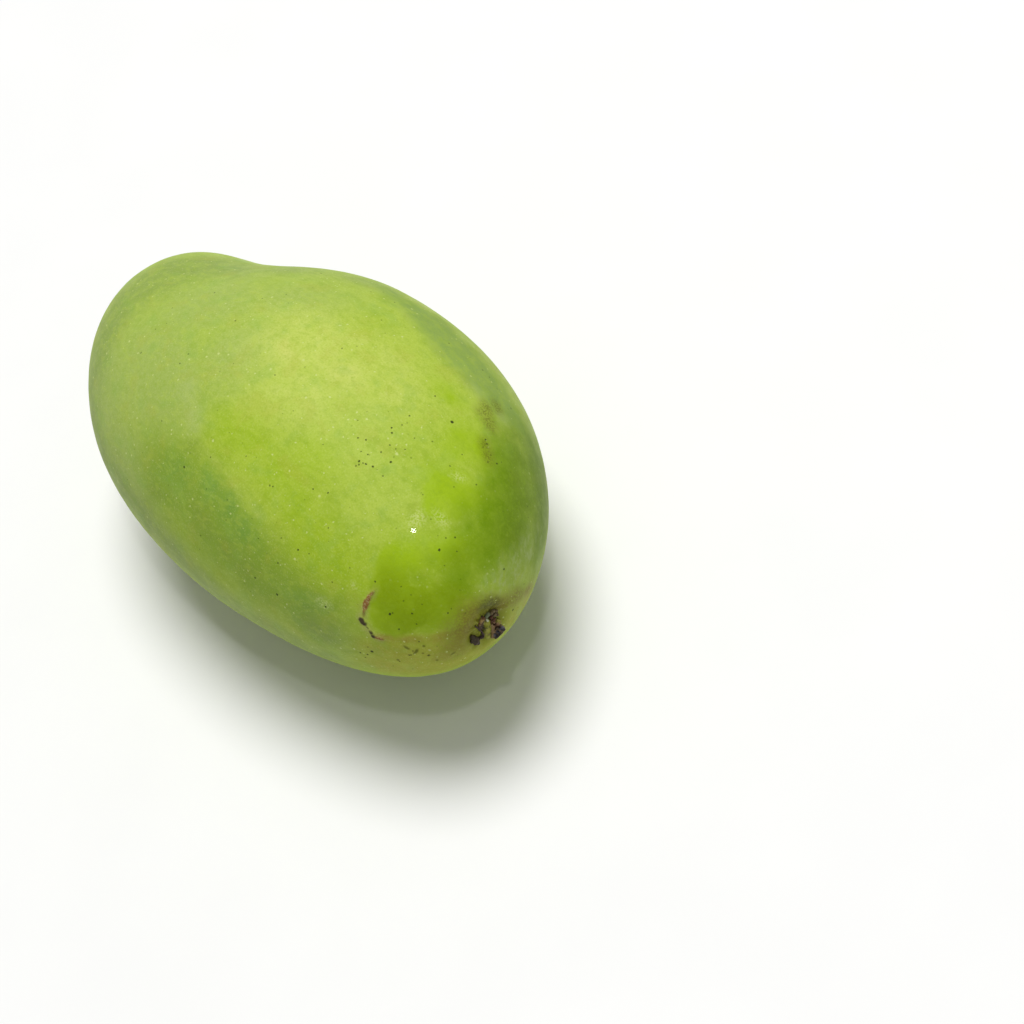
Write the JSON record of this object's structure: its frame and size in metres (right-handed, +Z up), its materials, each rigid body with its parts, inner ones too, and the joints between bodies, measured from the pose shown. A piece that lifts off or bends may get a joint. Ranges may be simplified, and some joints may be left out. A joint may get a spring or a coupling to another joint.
{
  "type": "mango",
  "caption": "Whole unripe green mango lying on one cheek, with a shallow hollow and a short broken stalk stub at the stem end.",
  "frame": {"origin": "on the surface that the fruit rests on, under the middle of its bounding box", "axes": "+X out of the stem end, +Y to the belly with the sinus, +Z up out of the upper cheek"},
  "size_m": [0.1346, 0.08, 0.0694],
  "materials": {
    "peel": "satin waxy peel of an unripe mango, yellow-green with a pale grey bloom, fine pale dots and small brown marks",
    "stalk": "dry matt stalk, olive green in the middle with dried dark-brown lobes"
  },
  "bodies": {
    "root": {"fruit": "peel", "stem_stub": "stalk"}
  },
  "joints": []
}
